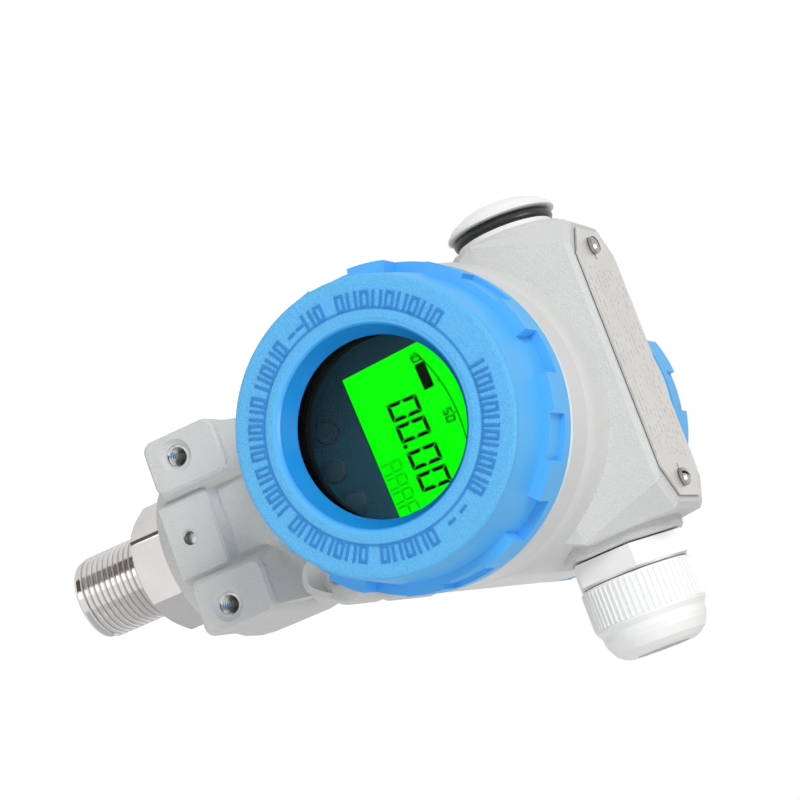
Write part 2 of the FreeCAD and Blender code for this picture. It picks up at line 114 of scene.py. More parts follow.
def circle(bm, radius, z, columns):
    """ring of points round Z"""
    turns = [2 * math.pi * i / columns for i in range(columns)]
    return [bm.verts.new((radius * math.cos(a), radius * math.sin(a), z)) for a in turns]


def skin(bm, rings):
    """walls between rings of points, each closed on itself"""
    for a, b in zip(rings, rings[1:]):
        for i in range(len(a)):
            k = (i + 1) % len(a)
            bm.faces.new((a[i], b[i], b[k], a[k]))


def spiral(bm, profile, pitch, high, low, high_radius, low_radius, columns):
    """right-hand thread between two levels; profile holds (share of the pitch downwards, radius)"""
    n = len(profile)
    rows = []
    for j in range(int((high - low) / pitch + 2) * n + 1):
        share, radius = profile[j % n]
        row = []
        for i in range(columns):
            z = high + pitch * (i / columns - j // n - share)
            r = high_radius if z >= high else low_radius if z <= low else radius
            a = 2 * math.pi * i / columns
            row.append(bm.verts.new((r * math.cos(a), r * math.sin(a), min(high, max(low, z)))))
        rows.append(row)
    for j in range(len(rows) - 1):
        for i in range(columns - 1):
            bm.faces.new((rows[j][i], rows[j + 1][i], rows[j + 1][i + 1], rows[j][i + 1]))
        above, below = rows[max(j - n, 0)][0], rows[max(j + 1 - n, 0)][0]
        seam = [rows[j][-1], rows[j + 1][-1], below]
        bm.faces.new(seam if above is below else seam + [above])
    return rows[0], rows[-1]


def join_close(bm):
    """join points that meet, dropping the faces that shrink to nothing"""
    bmesh.ops.remove_doubles(bm, verts=bm.verts, dist=1e-7)
    bmesh.ops.dissolve_degenerate(bm, edges=bm.edges, dist=1e-7)


# ---- material parts ----
def feed(tree, value, socket):
    """link a socket to another one, or give it a value"""
    if isinstance(value, bpy.types.NodeSocket):
        tree.links.new(value, socket)
    else:
        socket.default_value = value


def math_node(tree, kind, a, b=None, clamp=False):
    """result of one math node on one or two numbers or sockets"""
    n = tree.nodes.new("ShaderNodeMath")
    n.operation = kind
    n.use_clamp = clamp
    feed(tree, a, n.inputs[0])
    if b is not None:
        feed(tree, b, n.inputs[1])
    return n.outputs[0]


def plus(tree, a, b):
    return math_node(tree, "ADD", a, b)


def minus(tree, a, b):
    return math_node(tree, "SUBTRACT", a, b)


def times(tree, a, b):
    return math_node(tree, "MULTIPLY", a, b)


def reach(tree, a, b):
    """length of a step with the two sides a and b"""
    return math_node(tree, "SQRT", plus(tree, times(tree, a, a), times(tree, b, b)))


def step_up(tree, value, at, width):
    """0 below at, 1 above it"""
    return math_node(tree, "DIVIDE", minus(tree, value, at - width / 2), width, clamp=True)


def step_down(tree, value, at, width):
    """1 below at, 0 above it"""
    return math_node(tree, "DIVIDE", minus(tree, at + width / 2, value), width, clamp=True)


def remap(tree, value, low=0.0, high=1.0, to_low=0.0, to_high=1.0):
    """value carried from one range to another"""
    n = tree.nodes.new("ShaderNodeMapRange")
    for key, number in (("From Min", low), ("From Max", high), ("To Min", to_low), ("To Max", to_high)):
        n.inputs[key].default_value = number
    tree.links.new(value, n.inputs["Value"])
    return n.outputs[0]


def object_place(tree):
    """place on the piece in the frame's own coordinates"""
    return tree.nodes.new("ShaderNodeTexCoord").outputs["Object"]


def object_axes(tree):
    """the same place as separate x, y and z"""
    split = tree.nodes.new("ShaderNodeSeparateXYZ")
    tree.links.new(object_place(tree), split.inputs[0])
    return split.outputs


def barrel_distance(tree):
    """distance from the barrel axis"""
    x, _, z = object_axes(tree)
    return reach(tree, x, minus(tree, z, AXIS_Z))


def noise(tree, place, scale, detail):
    """noise over a place; scale is a number or a socket"""
    n = tree.nodes.new("ShaderNodeTexNoise")
    tree.links.new(place, n.inputs["Vector"])
    feed(tree, scale, n.inputs["Scale"])
    n.inputs["Detail"].default_value = detail
    return n


def bump(tree, p, height, strength, distance):
    """relief from a height between 0 and 1; masks go into the height"""
    b = tree.nodes.new("ShaderNodeBump")
    b.inputs["Distance"].default_value = distance
    b.inputs["Strength"].default_value = strength
    tree.links.new(height, b.inputs["Height"])
    tree.links.new(b.outputs[0], p.inputs["Normal"])


def ramp(tree, value, low_at, low, high_at, high):
    """colour that runs from low to high between two values"""
    r = tree.nodes.new("ShaderNodeValToRGB")
    for stop, at, color in zip(r.color_ramp.elements, (low_at, high_at), (low, high)):
        stop.position = at
        stop.color = (*color, 1.0)
    tree.links.new(value, r.inputs[0])
    return r.outputs[0]


def overlay(tree, p, mask, color):
    """lay a colour over the finish so far, where the mask is 1"""
    base = p.inputs["Base Color"]
    n = tree.nodes.new("ShaderNodeMix")
    n.data_type = "RGBA"
    under, over = n.inputs[6], n.inputs[7]
    tree.links.new(mask, n.inputs["Factor"])
    tree.links.new(base.links[0].from_socket, under)
    over.default_value = (*color, 1.0)
    tree.links.new(n.outputs[2], base)


def scaled(color, k):
    """colour made darker or lighter by the factor k"""
    return tuple(c * k for c in color)


def node_group(name, inputs, outputs):
    """empty shader group with named sockets, its input node and its output node"""
    tree = bpy.data.node_groups.new(name, "ShaderNodeTree")
    for label, kind, value in inputs:
        socket = tree.interface.new_socket(label, in_out="INPUT", socket_type=kind)
        socket.default_value = value
    for label in outputs:
        tree.interface.new_socket(label, in_out="OUTPUT", socket_type="NodeSocketFloat")
    return tree, tree.nodes.new("NodeGroupInput"), tree.nodes.new("NodeGroupOutput")


def powder_group():
    """grain of a powder coat: a height, a fine speckle and a slow drift of tone"""
    t, given, result = node_group(
        "powder coat",
        [("Scale", "NodeSocketFloat", 1500.0), ("Seed", "NodeSocketFloat", 0.0)],
        ["Height", "Speckle", "Tone"])
    place = object_place(t)
    grain = noise(t, place, given.outputs["Scale"], detail=1.0)
    grain.noise_dimensions = "4D"
    t.links.new(given.outputs["Seed"], grain.inputs["W"])
    drift = noise(t, place, 60.0, detail=3.0)
    t.links.new(grain.outputs[0], result.inputs["Height"])
    t.links.new(remap(t, grain.outputs[0], 0.3, 0.7), result.inputs["Speckle"])
    t.links.new(drift.outputs[0], result.inputs["Tone"])
    return t


def lathe_group():
    """fine turning lines as a height, and a mask of worn patches"""
    t, given, result = node_group(
        "lathe lines",
        [("Stretch", "NodeSocketVector", (1.0, 1.0, 1.0)), ("Scale", "NodeSocketFloat", 1400.0)],
        ["Height", "Worn"])
    place = object_place(t)
    stretched = t.nodes.new("ShaderNodeMapping")
    t.links.new(place, stretched.inputs["Vector"])
    t.links.new(given.outputs["Stretch"], stretched.inputs["Scale"])
    lines = noise(t, stretched.outputs[0], given.outputs["Scale"], detail=3.0)
    worn = noise(t, place, 130.0, detail=4.0)
    t.links.new(lines.outputs[0], result.inputs["Height"])
    t.links.new(worn.outputs[0], result.inputs["Worn"])
    return t


POWDER = powder_group()
LATHE = lathe_group()


def use(tree, group, **values):
    """place a shared group with its own values; gives its outputs"""
    n = tree.nodes.new("ShaderNodeGroup")
    n.node_tree = group
    for key, value in values.items():
        n.inputs[key].default_value = value
    return n.outputs


def material(name, color, rough, metallic=0.0, spec=0.5):
    """plain finish to build on, as the material, its tree and its shader"""
    m = bpy.data.materials.new(name)
    m.use_nodes = True
    p = m.node_tree.nodes["Principled BSDF"]
    p.inputs["Base Color"].default_value = (*color, 1.0)
    p.inputs["Roughness"].default_value = rough
    p.inputs["Metallic"].default_value = metallic
    p.inputs["Specular IOR Level"].default_value = spec
    return m, m.node_tree, p


# ---- finishes: m is the material, t its tree, p its shader, g the values of a shared group ----
HOUSING_GREY = (0.715, 0.725, 0.715)
COVER_BLUE = (0.095, 0.485, 0.96)
FACE_BLUE = (0.12, 0.54, 0.99)
BEVEL_BLUE = (0.012, 0.31, 0.80)
# deeper blue painted over the raised marks as shade
MARK_SHADE_BLUE = (0.03, 0.26, 0.66)


def housing_paint():
    """smooth on the turned barrel, grained where the casting was left as it came"""
    m, t, p = material("grey powder coat", HOUSING_GREY, 0.42, spec=0.35)
    g = use(t, POWDER, Scale=3400.0)
    cast = step_up(t, barrel_distance(t), CAST_R, 0.6 * MM)
    amount = plus(t, times(t, cast, 0.9), 0.12)
    bump(t, p, times(t, g["Height"], amount), 0.8, 0.35 * MM)
    tone = ramp(t, g["Tone"], 0.3, scaled(HOUSING_GREY, 0.95), 0.7, HOUSING_GREY)
    t.links.new(tone, p.inputs["Base Color"])
    overlay(t, p, times(t, times(t, g["Speckle"], cast), 0.5), scaled(HOUSING_GREY, 0.86))
    t.links.new(plus(t, times(t, cast, 0.16), 0.36), p.inputs["Roughness"])
    return m


def cover_paint():
    """grained on the outer face and smooth elsewhere, with a deeper blue on the bevel and painted shade, a
    deeper blue, over the raised marks
    """
    m, t, p = material("blue powder coat", COVER_BLUE, 0.38, spec=0.35)
    g = use(t, POWDER, Scale=3000.0, Seed=3.0)
    r = barrel_distance(t)
    _, y, _ = object_axes(t)
    outer = step_down(t, y, FACE_Y + 1.2 * MM, 0.6 * MM)
    face = times(t, outer, step_up(t, r, WINDOW_R + 0.9 * MM, 0.6 * MM))
    bevel = times(t, step_down(t, r, WINDOW_R, 0.5 * MM), step_down(t, y, BEVEL_END_Y, 1.0 * MM))
    ring = times(t, step_up(t, r, MARKS_IN - 0.3 * MM, 0.3 * MM),
                 step_down(t, r, MARKS_OUT + 0.4 * MM, 0.3 * MM))
    raised = times(t, step_down(t, y, FACE_Y - 0.04 * MM, 0.06 * MM), ring)
    bump(t, p, times(t, g["Height"], plus(t, times(t, face, 0.9), 0.1)), 0.9, 0.3 * MM)
    tone = ramp(t, g["Tone"], 0.3, scaled(COVER_BLUE, 0.95), 0.7, COVER_BLUE)
    t.links.new(tone, p.inputs["Base Color"])
    overlay(t, p, face, FACE_BLUE)
    overlay(t, p, times(t, times(t, g["Speckle"], face), 0.7), scaled(FACE_BLUE, 0.78))
    # painted shade: the raised marks are darkened to stand in for the shade round their edges
    overlay(t, p, raised, MARK_SHADE_BLUE)
    overlay(t, p, bevel, BEVEL_BLUE)
    t.links.new(minus(t, 0.45, times(t, bevel, 0.2)), p.inputs["Roughness"])
    t.links.new(times(t, bevel, 0.8), p.inputs["Coat Weight"])
    p.inputs["Coat Roughness"].default_value = 0.18
    return m


def turned_steel(name, color, rough, stretch=(1.0, 1.0, 1.0), relief=0.15):
    """bare metal with fine tool lines and slightly duller patches"""
    m, t, p = material(name, color, rough, metallic=1.0)
    g = use(t, LATHE, Stretch=stretch)
    spread = remap(t, g["Height"], to_low=rough * 0.75, to_high=rough * 1.3)
    t.links.new(spread, p.inputs["Roughness"])
    t.links.new(ramp(t, g["Worn"], 0.35, scaled(color, 0.94), 0.65, color), p.inputs["Base Color"])
    bump(t, p, g["Height"], relief, 0.1 * MM)
    return m, t, p


def process_steel():
    """polished stem and hexagon, with painted shade and a painted brown reflection of the neck on the chamfer
    of the hexagon
    """
    m, t, p = turned_steel("process steel", (0.76, 0.745, 0.73), 0.13, (1.0, 1.0, 5.0), 0.06)
    x, y, z = object_axes(t)
    rise = times(t, minus(t, HEX_CORNER, reach(t, x, y)), HEX_SLOPE)
    lip = HEX_TOP - HEX_BEVEL * HEX_SLOPE
    chamfer = step_up(t, minus(t, z, rise), lip - 0.03 * MM, 0.04 * MM)
    # painted shade and reflection: the chamfer under the neck is coloured dark brown
    overlay(t, p, chamfer, (0.23, 0.19, 0.165))
    return m


def plate_steel():
    """satin sheet with a painted shadow line where it meets the casting and faint rubbed rows"""
    satin = (0.68, 0.66, 0.635)
    row_spacing, row_half, rows_half = 1.35 * MM, 0.5 * MM, 22.0 * MM
    m, t, p = turned_steel("satin plate", satin, 0.4, (0.15, 1.0, 1.0), 0.1)
    x, y, z = object_axes(t)
    from_row = math_node(t, "PINGPONG", minus(t, y, plate_low.y), row_spacing)
    row = step_down(t, from_row, row_half, 0.1 * MM)
    inside = times(t, step_down(t, math_node(t, "ABSOLUTE", x), rows_half, 0.5 * MM),
                   step_up(t, z, plate_high.z - 0.05 * MM, 0.02 * MM))
    worn = step_up(t, use(t, POWDER, Scale=1100.0, Seed=11.0)["Height"], 0.54, 0.06)
    overlay(t, p, times(t, times(t, row, inside), times(t, worn, 0.7)), scaled(satin, 0.62))
    # painted shadow: the foot of the plate's edge is black where it sits on the casting
    overlay(t, p, step_down(t, z, plate_low.z + 0.16 * MM, 0.06 * MM), (0.02, 0.02, 0.02))
    return m


def screw_steel():
    """round heads of the plate's screws, with painted shade in the slot and where they meet the plate"""
    head_height, slot_depth, slot_reach = 1.5 * MM, 0.62 * MM, 1.85 * MM
    m, t, p = turned_steel("screw steel", (0.42, 0.41, 0.40), 0.22, relief=0.3)
    low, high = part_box("plate_screw_left")
    middle = (low + high) / 2
    x, y, z = object_axes(t)
    across = minus(t, math_node(t, "ABSOLUTE", x), abs(middle.x))
    near = step_down(t, reach(t, across, minus(t, y, middle.y)), slot_reach, 0.1 * MM)
    slot = times(t, step_down(t, z, high.z - slot_depth, 0.1 * MM), near)
    foot = step_down(t, z, high.z - head_height, 0.1 * MM)
    # painted shade in the slot and round the foot of each head
    overlay(t, p, math_node(t, "MAXIMUM", slot, foot), (0.05, 0.048, 0.045))
    return m


def moulded(name, color, rough, grain=0.1, spec=0.5):
    """plastic or rubber with a fine grain and a slow drift of tone"""
    m, t, p = material(name, color, rough, spec=spec)
    g = use(t, POWDER, Scale=1800.0, Seed=7.0)
    bump(t, p, g["Height"], grain, 0.2 * MM)
    t.links.new(ramp(t, g["Tone"], 0.3, scaled(color, 0.93), 0.7, color), p.inputs["Base Color"])
    return m


def lcd_screen():
    """lit green panel that glows through the window and nowhere else"""
    m, t, p = material("lit display", (0.0, 0.03, 0.0), 0.6, spec=0.0)
    g = use(t, POWDER, Scale=40.0, Seed=5.0)
    t.links.new(ramp(t, g["Height"], 0.3, (0.0, 0.97, 0.0), 0.7, (0.0, 1.0, 0.0)), p.inputs["Emission Color"])
    path = t.nodes.new("ShaderNodeLightPath").outputs
    seen = math_node(t, "MAXIMUM", path["Is Camera Ray"], path["Is Transmission Ray"])
    bounced = math_node(t, "MAXIMUM", path["Diffuse Depth"], path["Glossy Depth"])
    direct = math_node(t, "SUBTRACT", 1.0, bounced, clamp=True)
    t.links.new(times(t, seen, direct), p.inputs["Emission Strength"])
    return m


def display_ink():
    """near black of the figures on the lit panel"""
    m, t, p = material("display ink", (0.0, 0.004, 0.0), 0.7, spec=0.0)
    g = use(t, POWDER, Scale=900.0, Seed=9.0)
    t.links.new(ramp(t, g["Tone"], 0.3, (0.0, 0.0, 0.0), 0.7, (0.0, 0.008, 0.0)), p.inputs["Base Color"])
    return m


def clear_glass():
    """clean flat pane, with hardly any mirror image of the room"""
    m, _, p = material("window glass", (1.0, 1.0, 1.0), 0.0)
    p.inputs["Transmission Weight"].default_value = 1.0
    p.inputs["IOR"].default_value = 1.12
    return m


FINISH = {
    "housing_paint": housing_paint(),
    "cover_paint": cover_paint(),
    "seal_rubber": moulded("seal rubber", (0.016, 0.018, 0.022), 0.26),
    "cover_glass": clear_glass(),
    "zinc_steel": turned_steel("zinc plate", (0.62, 0.63, 0.64), 0.35)[0],
    "bezel_plastic": moulded("slate moulding", (0.016, 0.10, 0.155), 0.5, spec=0.2),
    "lcd_green": lcd_screen(),
    "circuit_board": moulded("solder mask", (0.01, 0.10, 0.04), 0.3),
    "black_plastic": moulded("black moulding", (0.02, 0.02, 0.022), 0.45),
    "button_rubber": moulded("key rubber", (0.018, 0.075, 0.115), 0.45),
    "brass": turned_steel("turned brass", (0.72, 0.52, 0.22), 0.3)[0],
    "potting": moulded("potting", (0.05, 0.04, 0.03), 0.4),
    "stainless": turned_steel("turned stainless", (0.76, 0.75, 0.73), 0.2)[0],
    "plate_steel": plate_steel(),
    "black_steel": turned_steel("blackened steel", (0.06, 0.06, 0.065), 0.4)[0],
    "nylon": moulded("white nylon", (0.93, 0.93, 0.92), 0.36, grain=0.05),
}
SCREW_STEEL = screw_steel()
PROCESS_STEEL = process_steel()
THREAD_STEEL = turned_steel("cut thread", (0.62, 0.62, 0.62), 0.22, relief=0.4)[0]
DISPLAY_INK = display_ink()


def dress_nodes():
    """give every solid its finish by its slot in the record, and the plate's screws their own"""
    slots = {s["node"]: s["material_slot"] for s in frame["record"]["subparts"]}
    for name, obj in nodes.items():
        for s in obj.material_slots:
            s.material = SCREW_STEEL if name.startswith("plate_screw") else FINISH[slots[name]]


dress_nodes()


# ---- process stem ----
def process_stem():
    """the node's hexagon, kept as it is, on a stem with its thread cut in full"""
    shank, crest, root, relief = 10.0 * MM, 9.98 * MM, 9.3 * MM, 9.2 * MM
    pitch, plain_length, tip_length, columns = 1.5 * MM, 1.5 * MM, 2.0 * MM, 128
    nose, nose_round, bore, bore_edge = 9.55 * MM, 0.75 * MM, 3.0 * MM, 0.4 * MM
    end, bore_top = stem_low.z, stem_high.z - 2.4 * MM
    bm = bmesh.new()
    bm.from_mesh(nodes["process_connection"].data)
    bmesh.ops.remove_doubles(bm, verts=bm.verts, dist=1e-6)
    bmesh.ops.delete(bm, geom=[v for v in bm.verts if v.co.z < -1e-5], context="VERTS")

    crest_edge = crest - 0.05 * MM
    profile = ((0.0, crest_edge), (0.04, crest), (0.60, crest), (0.64, crest_edge),
               (0.76, root), (0.88, root))
    first, last = spiral(bm, profile, pitch, -plain_length, end + tip_length, relief, relief, columns)
    upper = [(shank, 0.0), (shank, -0.02 * MM), (relief, -0.5 * MM)]
    skin(bm, [circle(bm, r, z, columns) for r, z in upper] + [first])
    lower = [(nose, end + tip_length - 0.35 * MM)]
    for k in range(7):
        a = math.radians(15 * k)
        lower.append((nose - nose_round * (1 - math.cos(a)), end + nose_round * (1 - math.sin(a))))
    lower += [(bore + bore_edge, end), (bore, end + bore_edge), (bore, bore_top)]
    skin(bm, [last] + [circle(bm, r, z, columns) for r, z in lower])
    join_close(bm)
    obj = mesh_object("process_stem", bm, 20)
    dress(obj, "housing", PROCESS_STEEL)
    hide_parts("process_connection")


process_stem()

# ---- tapped holes of the neck ----
LUG_THREAD = {"flange": 2.66 * MM, "hole": 2.5 * MM, "depth": 12.0 * MM, "pitch": 1.0 * MM, "cut": 0.4 * MM}
PAD_THREAD = {"flange": 1.85 * MM, "hole": 1.7 * MM, "depth": 2.7 * MM, "pitch": 0.7 * MM, "cut": 0.2 * MM}


def tapped_sleeve(name, mouth, flange, hole, depth, pitch, cut):
    """thread seen inside a tapped hole, a closed sleeve with its drilled bottom, laid along -Y"""
    columns, lip, thin, root = 48, 0.06 * MM, 0.02 * MM, hole - 0.05 * MM
    start, end, bottom = -0.1 * MM, -depth + 0.3 * MM, -depth + 0.1 * MM
    bm = bmesh.new()
    outside = [circle(bm, r, z, columns) for r, z in (
        (hole - thin, -depth), (hole - thin, -thin), (flange, -thin), (flange - 0.08 * MM, lip),
        (root, lip))]
    profile = ((0.0, root), (0.14, root), (0.46, root - cut), (0.68, root - cut))
    first, last = spiral(bm, profile, pitch, start, end, root, root, columns)
    skin(bm, outside + [first])
    drill_point = circle(bm, 0.01 * MM, bottom, columns)
    skin(bm, [last, drill_point])
    bm.faces.new(outside[0])
    bm.faces.new(drill_point)
    join_close(bm)
    bm.transform(Matrix.Translation(mouth) @ TO_FRONT)
    return dress(mesh_object(name, bm, 50), "housing", THREAD_STEEL)


for side, x in (("left", -NECK_LUG_X), ("right", NECK_LUG_X)):
    tapped_sleeve("lug_thread_" + side, (x, NECK_LUG_Y + LUG_SINK, NECK_LUG_Z), **LUG_THREAD)
tapped_sleeve("pad_thread", (0.0, NECK_PAD_Y + PAD_SINK, NECK_PAD_Z), **PAD_THREAD)


# ---- run of the casting between pad, rib and lugs ----
def block_front(u, w, half, middle, low, high, face, slope):
    """how far a block of the neck stands out, in millimetres, falling away with the slope past its sides"""
    out = max(abs(u - middle) - half, low - w, w - high, 0.0)
    return face - slope * out


def joined(fronts, soft):
    """the foremost of the fronts, filled out softly where two of them lie nearly level"""
    top = fronts[0]
    for front in fronts[1:]:
        near = max(soft - abs(top - front), 0.0) / soft
        top = max(top, front) + near * near * soft * 0.25
    return top


def neck_front(x, z):
    """how far the skin over the neck stands out, in millimetres, sunk in clear of the holes"""
    lug_clear, pad_clear, sunk, under = 4.3 * MM, 2.5 * MM, 14.5, 0.07
    neck_r, foot_r, foot_top, lug_middle = 23.3, 22.6, -64.5, 16.55
    holes = ((NECK_LUG_X, NECK_LUG_Z, lug_clear), (-NECK_LUG_X, NECK_LUG_Z, lug_clear),
             (0.0, NECK_PAD_Z, pad_clear))
    if any(math.hypot(x - hole_x, z - hole_z) < clear for hole_x, hole_z, clear in holes):
        return sunk
    u, w = x / MM, (z - AXIS_Z) / MM
    radius = neck_r if w > foot_top else foot_r
    neck = math.sqrt(max(0.0, radius ** 2 - u * u))
    rib = block_front(u, w, half=7.6, middle=0.0, low=-53.4, high=-30.0, face=24.9, slope=1.3)
    pad = block_front(u, w, half=8.3, middle=0.0, low=-67.8, high=-56.0, face=26.7, slope=1.4)
    lugs = [block_front(u, w, half=5.7, middle=m, low=-64.8, high=-47.9, face=29.5, slope=2.6)
            for m in (lug_middle, -lug_middle)]
    return joined([neck, rib, pad, max(lugs)], soft=1.9) - under


def neck_fillets():
    """soft valleys that join the pad, the rib and the lugs, a closed piece sunk in the casting"""
    across, along = 132, 150
    half_width, bed = 21.5 * MM, -14.0 * MM
    low, high = AXIS_Z - 67.5 * MM, AXIS_Z - 34.0 * MM
    bm = bmesh.new()
    front = []
    for j in range(along + 1):
        z = low + (high - low) * j / along
        places = [half_width * (2 * i / across - 1) for i in range(across + 1)]
        front.append([bm.verts.new((x, -neck_front(x, z) * MM, z)) for x in places])
    for a, b in zip(front, front[1:]):
        for i in range(across):
            bm.faces.new((a[i], a[i + 1], b[i + 1], b[i]))
    rim = front[0] + [r[-1] for r in front[1:]] + front[-1][-2::-1] + [r[0] for r in front[-2:0:-1]]
    back = [bm.verts.new((v.co.x, bed, v.co.z)) for v in rim]
    skin(bm, [rim, back])
    bm.faces.new(back)
    return dress(mesh_object("neck_fillets", bm, 60), "housing", FINISH["housing_paint"])


neck_fillets()


# ---- cable gland and plug ----
ROUND = 96                                         # columns round the collar and the ring


def gland_collar():
    """shoulder of the gland body that closes most of the gap under the nut"""
    profile = ((9.3, 0.0), (11.9, 0.0), (12.0, 0.1), (12.0, 0.3), (11.8, 0.42), (9.3, 0.42))
    bm = bmesh.new()
    rings = [circle(bm, r * MM, x * MM, ROUND) for r, x in profile]
    skin(bm, rings + rings[:1])
    bm.transform(Matrix.Translation((GASKET_X + GLAND_HEX, 0.0, ENTRY_Z)) @ TO_SIDE)
    return dress(mesh_object("gland_collar", bm, 30), "housing", FINISH["nylon"])


def plug_ring():
    """the seal behind the plug as a true round ring"""
    minor = (plug_high.x - plug_low.x) / 2
    major = (plug_high.z - plug_low.z) / 2 - minor
    steps = 16
    turns = [2 * math.pi * k / steps for k in range(steps)]
    bm = bmesh.new()
    rings = [circle(bm, major + minor * math.cos(a), minor * math.sin(a), ROUND) for a in turns]
    skin(bm, rings + rings[:1])
    bm.transform(Matrix.Translation((plug_low + plug_high) / 2) @ TO_SIDE)
    obj = dress(mesh_object("plug_ring", bm, 40), "plug_seal_ring", FINISH["seal_rubber"])
    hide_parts("plug_seal")


gland_collar()
plug_ring()


# ---- copies turned about an axis, by geometry nodes ----
def copies_tree():
    """copies of one shape turned about Z, evenly spaced, and the identifier of each named input"""
    tree = bpy.data.node_groups.new("turned copies", "GeometryNodeTree")
    sockets = tree.interface
    sockets.new_socket("Geometry", in_out="INPUT", socket_type="NodeSocketGeometry")
    kinds = {"Shape": "NodeSocketObject", "Finish": "NodeSocketMaterial", "Count": "NodeSocketInt",
             "First": "NodeSocketFloat", "Pitch": "NodeSocketFloat"}
    identifiers = {}
    for label, kind in kinds.items():
        identifiers[label] = sockets.new_socket(label, in_out="INPUT", socket_type=kind).identifier
    sockets.new_socket("Geometry", in_out="OUTPUT", socket_type="NodeSocketGeometry")
    given, result = tree.nodes.new("NodeGroupInput").outputs, tree.nodes.new("NodeGroupOutput")
    points = tree.nodes.new("GeometryNodePoints")
    index = tree.nodes.new("GeometryNodeInputIndex").outputs[0]
    angle = plus(tree, times(tree, index, given["Pitch"]), given["First"])
    turn = tree.nodes.new("ShaderNodeCombineXYZ")
    shape = tree.nodes.new("GeometryNodeObjectInfo")
    copies = tree.nodes.new("GeometryNodeInstanceOnPoints")
    real = tree.nodes.new("GeometryNodeRealizeInstances")
    painted = tree.nodes.new("GeometryNodeSetMaterial")
    for start, end in ((given["Count"], points.inputs["Count"]), (angle, turn.inputs["Z"]),
                       (given["Shape"], shape.inputs["Object"]), (points.outputs[0], copies.inputs["Points"]),
                       (shape.outputs["Geometry"], copies.inputs["Instance"]),
                       (turn.outputs[0], copies.inputs["Rotation"]), (copies.outputs[0], real.inputs[0]),
                       (real.outputs[0], painted.inputs["Geometry"]),
                       (given["Finish"], painted.inputs["Material"]), (painted.outputs[0], result.inputs[0])):
        tree.links.new(start, end)
    return tree, identifiers


COPIES, COPIES_INPUT = copies_tree()


def turned_copies(shape, finish, count, first, pitch):
    """count copies of shape, turned about Z from the first angle on, as one plain mesh; in radians"""
    holder = add_object("copies_maker", bpy.data.meshes.new("copies_maker"))
    maker = holder.modifiers.new("copies", "NODES")
    maker.node_group = COPIES
    values = {"Shape": shape, "Finish": finish, "Count": count, "First": first, "Pitch": pitch}
    for label, value in values.items():
        maker[COPIES_INPUT[label]] = value
    mesh = bpy.data.meshes.new_from_object(holder.evaluated_get(bpy.context.evaluated_depsgraph_get()))
    bpy.data.objects.remove(holder)
    return mesh


def nut_ribs():
    """fine ribs round the gland nut, each tapering outwards"""
    count, width, height, sunk = 60, 0.84 * MM, 0.28 * MM, 0.2 * MM
    start, end = 0.5 * MM, 8.9 * MM
    r = (nut_high.z - nut_low.z) / 2 - 0.05 * MM
    top, foot = width * 0.175, width / 2
    outline = ((r - sunk, -foot), (r + height, -top), (r + height, top), (r - sunk, foot))
    bm = bmesh.new()
    ends = [[bm.verts.new((x, y, z)) for x, y in outline] for z in (start, end)]
    skin(bm, ends)
    for face in ends:
        bm.faces.new(face)
    rib = mesh_object("rib", bm)
    mesh = turned_copies(rib, FINISH["nylon"], count, 0.0, 2 * math.pi / count)
    bpy.data.objects.remove(rib)
    mesh.transform(Matrix.Translation((nut_low.x, 0.0, ENTRY_Z)) @ TO_SIDE)
    return dress(add_object("nut_ribs", mesh), "gland_nut", FINISH["nylon"])


nut_ribs()

# ---- plain marks round the cover face ----
MARK_FOOT, MARK_RISE = -0.1 * MM, 0.27 * MM        # below and above the face


def level_loop(bm, low, high, half, inset, z):
    """corners of a level rectangle, moved in by the inset"""
    x0, x1, y = low + inset, high - inset, half - inset
    return [bm.verts.new(p) for p in ((x0, -y, z), (x1, -y, z), (x1, y, z), (x0, y, z))]


def soft_bar(name, low, high, half):
    """low bar with softened edges, lying flat, its height along Z"""
    steps = ((0.0, MARK_FOOT), (0.03 * MM, MARK_RISE * 0.55), (0.09 * MM, MARK_RISE * 0.9),
             (0.17 * MM, MARK_RISE))
    bm = bmesh.new()
    loops = [level_loop(bm, low, high, half, inset, z) for inset, z in steps]
    skin(bm, loops)
    bm.faces.new(loops[0])
    bm.faces.new(loops[-1])
    return mesh_object(name, bm, 50)


def soft_frame(name, low, high, half, stroke):
    """low rectangular outline with softened edges, lying flat, its height along Z"""
    steps = ((0.0, MARK_FOOT), (0.03 * MM, MARK_RISE * 0.6), (0.14 * MM, MARK_RISE),
             (stroke - 0.14 * MM, MARK_RISE), (stroke - 0.03 * MM, MARK_RISE * 0.6), (stroke, MARK_FOOT))
    bm = bmesh.new()
    loops = [level_loop(bm, low, high, half, inset, z) for inset, z in steps]
    skin(bm, loops + loops[:1])
    return mesh_object(name, bm, 50)


